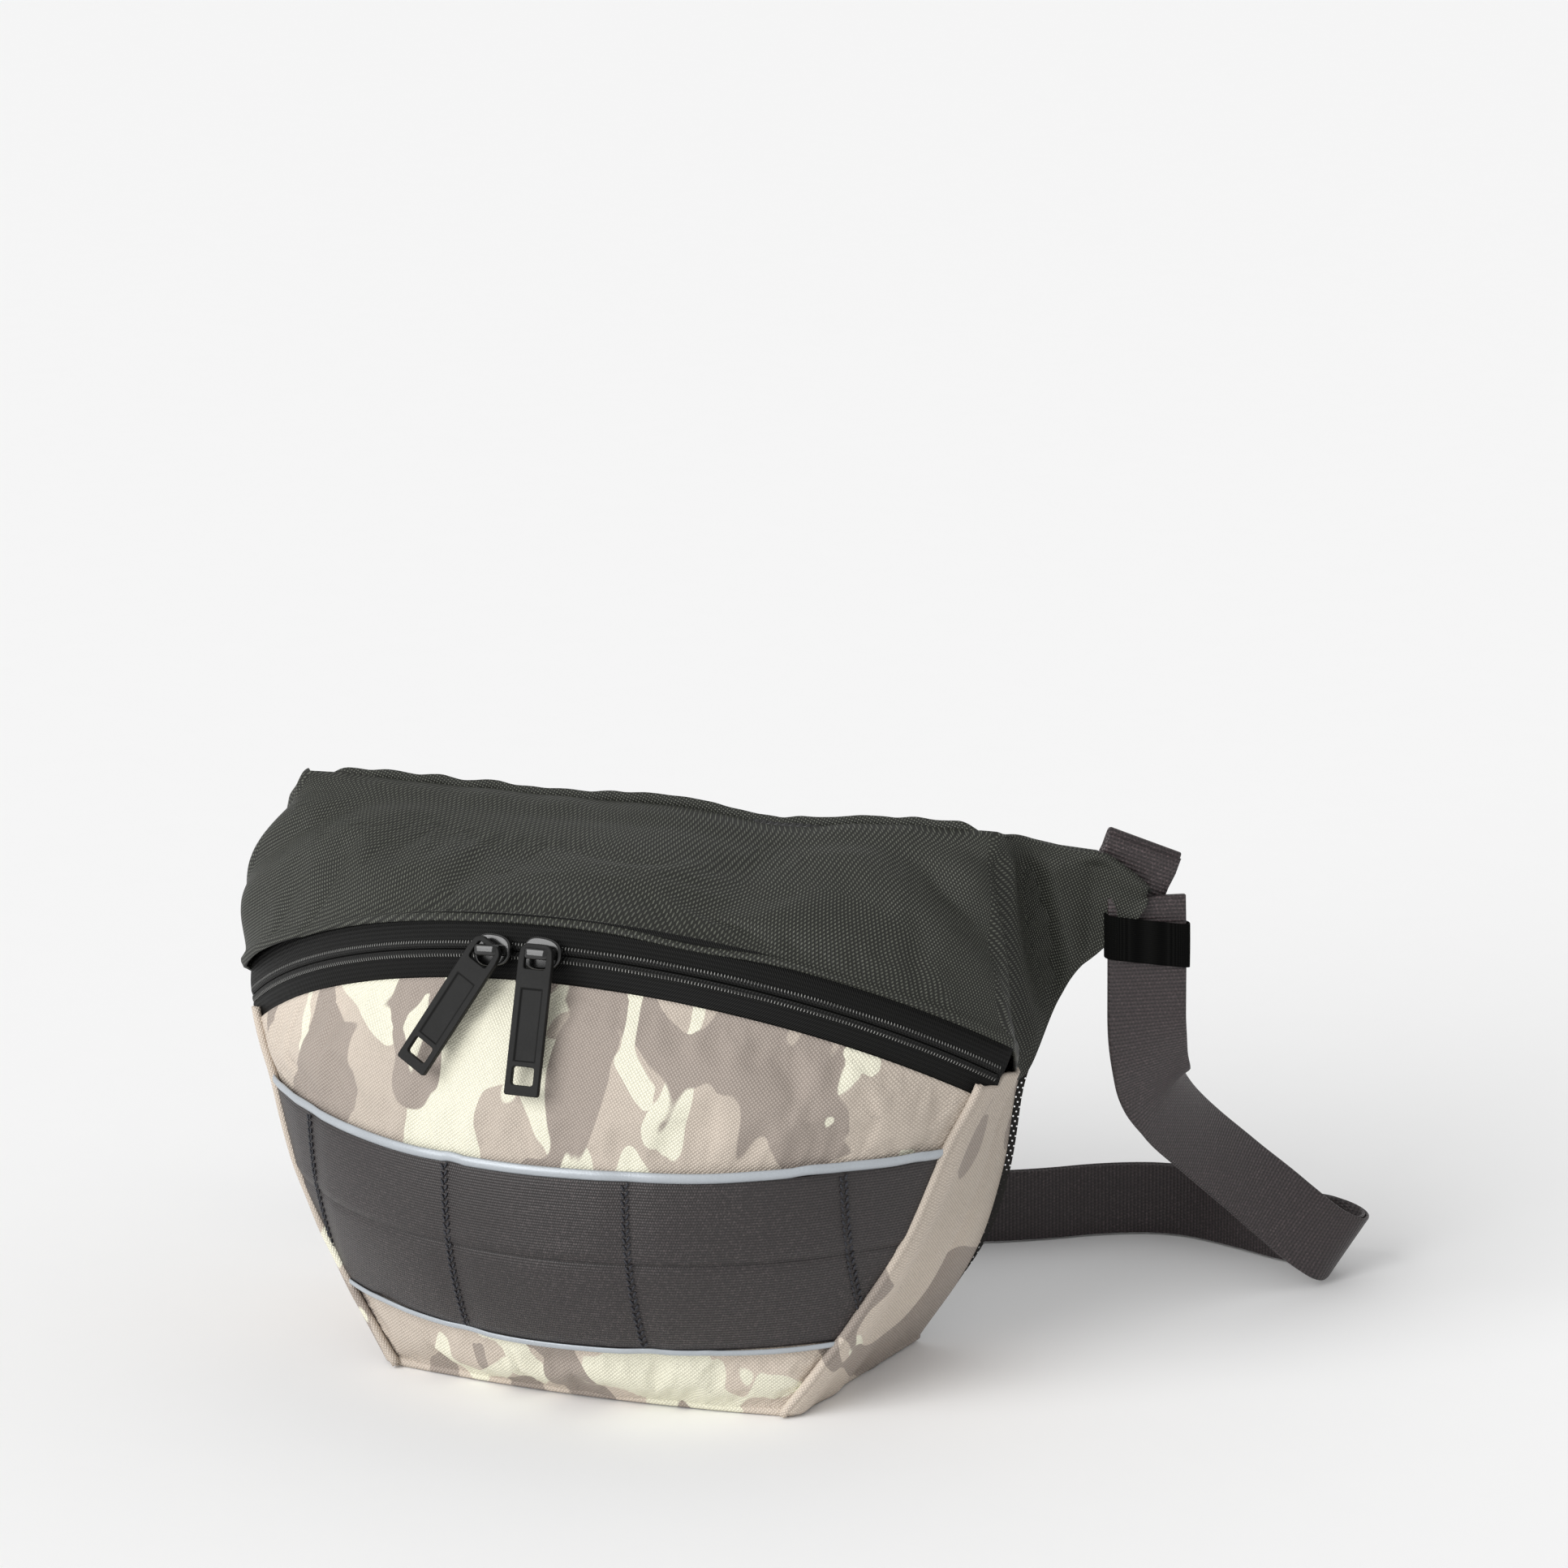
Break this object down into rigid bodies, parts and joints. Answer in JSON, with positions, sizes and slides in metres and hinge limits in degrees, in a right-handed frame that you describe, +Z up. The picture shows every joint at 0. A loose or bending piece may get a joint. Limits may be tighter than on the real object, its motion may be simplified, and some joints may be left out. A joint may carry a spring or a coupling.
{
  "type": "waist pack",
  "caption": "Padded waist pack with an arched double-slider zipper, front webbing panel, side wings and a doubled webbing waist strap.",
  "frame": {"origin": "on the floor, at the middle of the base, midway between its front and back edges", "axes": "+X to the pack's right, +Y from the front panel to the back panel, +Z up"},
  "size_m": [0.4324, 0.2894, 0.218],
  "materials": {
    "camouflage_fabric": "woven, matt",
    "dark_fabric": "ribbed weave, matt",
    "spacer_mesh": "open mesh",
    "panel_webbing": "woven webbing",
    "strap_webbing": "woven webbing",
    "reflective_tape": "satin",
    "zipper_tape": "knitted, matt",
    "zipper_coil": "satin",
    "slider_enamel": "gloss",
    "pull_plastic": "satin gloss",
    "elastic": "ribbed elastic",
    "buckle_plastic": "matt",
    "thread": "zigzag stitching"
  },
  "bodies": {
    "pouch": {"bottom_panel": "camouflage_fabric", "front_panel": "camouflage_fabric", "gusset_left": "camouflage_fabric", "gusset_right": "camouflage_fabric", "back_panel": "spacer_mesh", "top_panel": "dark_fabric", "top_binding": "dark_fabric", "webbing_row_lower": "panel_webbing", "webbing_row_upper": "panel_webbing", "webbing_stitching": "thread", "reflective_tape_top": "reflective_tape", "reflective_tape_bottom": "reflective_tape", "zipper_tape_upper": "zipper_tape", "zipper_tape_lower": "zipper_tape", "zipper_coil_upper": "zipper_coil", "zipper_coil_lower": "zipper_coil", "wing_left": "dark_fabric", "wing_right": "dark_fabric", "strap_anchor_left": "strap_webbing", "strap_anchor_right": "strap_webbing", "strap_main": "strap_webbing", "strap_return": "strap_webbing", "strap_left": "strap_webbing", "buckle_socket": "buckle_plastic", "buckle_plug": "buckle_plastic"},
    "slider_left_body": {"slider_left": "slider_enamel"},
    "pull_left_body": {"pull_left": "pull_plastic"},
    "slider_right_body": {"slider_right": "slider_enamel"},
    "pull_right_body": {"pull_right": "pull_plastic"},
    "keeper_body": {"elastic_keeper": "elastic"},
    "arm_upper_body": {"buckle_arm_upper": "buckle_plastic"},
    "arm_lower_body": {"buckle_arm_lower": "buckle_plastic"}
  },
  "joints": [
    {"name": "slider_left_travel", "type": "hinge", "parent": "pouch", "child": "slider_left_body", "pos_m": [0, 0.07701, 0.06204], "axis": [0, 0.632, 0.7749], "range_deg": [-45, 0]},
    {"name": "slider_right_travel", "type": "hinge", "parent": "pouch", "child": "slider_right_body", "pos_m": [0, 0.07701, 0.06204], "axis": [0, 0.632, 0.7749], "range_deg": [0, 51]},
    {"name": "pull_left_lift", "type": "hinge", "parent": "slider_left_body", "child": "pull_left_body", "pos_m": [-0.0222, -0.07889, 0.18404], "axis": [-0.9938, 0.0864, -0.0705], "range_deg": [0, 100]},
    {"name": "pull_right_lift", "type": "hinge", "parent": "slider_right_body", "child": "pull_right_body", "pos_m": [-0.00139, -0.07985, 0.18482], "axis": [-1, 0.0054, -0.0044], "range_deg": [0, 100]},
    {"name": "keeper_slide", "type": "slide", "parent": "pouch", "child": "keeper_body", "axis": [0, 0, -1], "range_m": [-0.004, 0.012]},
    {"name": "buckle_arm_upper_squeeze", "type": "hinge", "parent": "pouch", "child": "arm_upper_body", "pos_m": [-0.034, 0.136, 0.0305], "axis": [0, -1, 0], "range_deg": [0, 6], "stiffness_Nm_per_rad": 0.05},
    {"name": "buckle_arm_lower_squeeze", "type": "hinge", "parent": "pouch", "child": "arm_lower_body", "pos_m": [-0.034, 0.136, 0.0095], "axis": [0, 1, 0], "range_deg": [0, 6], "stiffness_Nm_per_rad": 0.05}
  ],
  "couplings": [
    {"joint": "buckle_arm_lower_squeeze", "follows": "buckle_arm_upper_squeeze", "ratio": 1}
  ]
}
